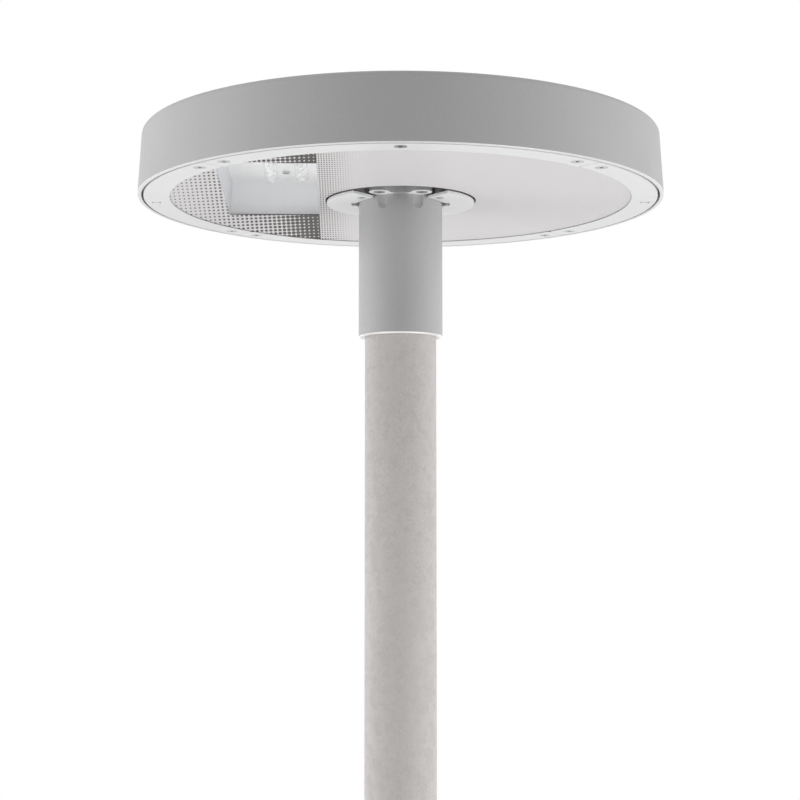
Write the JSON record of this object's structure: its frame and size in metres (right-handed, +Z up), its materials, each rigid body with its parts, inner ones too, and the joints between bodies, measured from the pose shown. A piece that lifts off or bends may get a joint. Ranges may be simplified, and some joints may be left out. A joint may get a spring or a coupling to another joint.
{
  "type": "street lamp post",
  "caption": "Post-top street lamp: flat round head with a glazed underside and an optic box, on a spigot sleeve and a stepped round steel post with a service door and a base plate.",
  "frame": {"origin": "on the ground under the axis of the post, in the underside of the base plate", "axes": "+Z up along the post, -Y is the front with the service door, +X to the right seen from the front"},
  "size_m": [0.561, 0.561, 4.0729],
  "materials": {
    "galvanised_steel": "hot-dip galvanised, fine mottled matt grain",
    "silver_paint": "silver-grey powder coat, fine metallic texture",
    "white_paint": "pale silver powder coat, satin",
    "stainless": "turned and brushed stainless steel",
    "cast_aluminium": "die-cast, lightly blasted",
    "glass": "clear toughened glass, polished",
    "rubber": "matt black silicone rubber",
    "reflector": "white moulded reflector, satin",
    "lens": "clear moulded acrylic",
    "board": "white solder mask",
    "pad": "grey thermal pad",
    "plastic_black": "black nylon",
    "plastic_grey": "grey moulded plastic",
    "plastic_white": "white moulded plastic",
    "cable": "black cable sheath",
    "cable_grey": "light grey cable sheath",
    "wire_red": "red wire insulation",
    "brass": "brass",
    "zinc_black": "black oxide steel"
  },
  "bodies": {
    "post": {"base_plate": "galvanised_steel", "lower_tube": "galvanised_steel", "shoulder_cone": "galvanised_steel", "upper_tube": "galvanised_steel", "door_frame": "galvanised_steel", "door_hinge_bracket": "galvanised_steel", "door_hinge_pins": "stainless", "mounting_rail": "galvanised_steel", "fuse_box": "plastic_grey", "fuse_box_cover": "plastic_grey", "fuse_box_screws": "stainless", "fuse_box_glands": "plastic_black", "earth_stud": "brass", "riser_cable": "cable", "pole_top_grommet": "rubber"},
    "head": {"sleeve": "silver_paint", "sleeve_seal": "rubber", "grub_screws": "zinc_black", "sleeve_screws": "stainless", "chassis": "cast_aluminium", "chassis_screws": "stainless", "cable_gland": "plastic_black", "gland_locknut": "plastic_black", "supply_lead": "cable", "led_lead": "cable_grey", "wing_left": "white_paint", "wing_right": "white_paint", "wing_screws": "stainless", "inner_gasket": "rubber", "outer_gasket": "rubber", "glass_pane": "glass", "frame_front": "white_paint", "frame_rear": "white_paint", "frame_left": "white_paint", "frame_right": "white_paint", "frame_screws": "stainless", "canopy": "silver_paint", "optic_box": "reflector", "lens_strips": "lens", "led_board": "board", "thermal_pad": "pad", "optic_screws": "stainless", "led_driver": "plastic_white", "driver_screws": "stainless", "terminal_block": "plastic_white", "driver_wires": "wire_red", "surge_protector": "plastic_grey"},
    "door": {"service_door": "galvanised_steel"},
    "lock": {"door_lock": "stainless"}
  },
  "joints": [
    {"name": "head_swivel", "type": "hinge", "parent": "post", "child": "head", "pos_m": [0, 0, 4], "axis": [0, 0, 1], "range_deg": [-180, 180]},
    {"name": "door_hinge", "type": "hinge", "parent": "post", "child": "door", "pos_m": [-0.05099, -0.03571, 0.79], "axis": [0, 0, -1], "range_deg": [0, 110]},
    {"name": "lock_turn", "type": "hinge", "parent": "door", "child": "lock", "pos_m": [0, 0, 0.956], "axis": [0, -1, 0], "range_deg": [0, 90]}
  ]
}
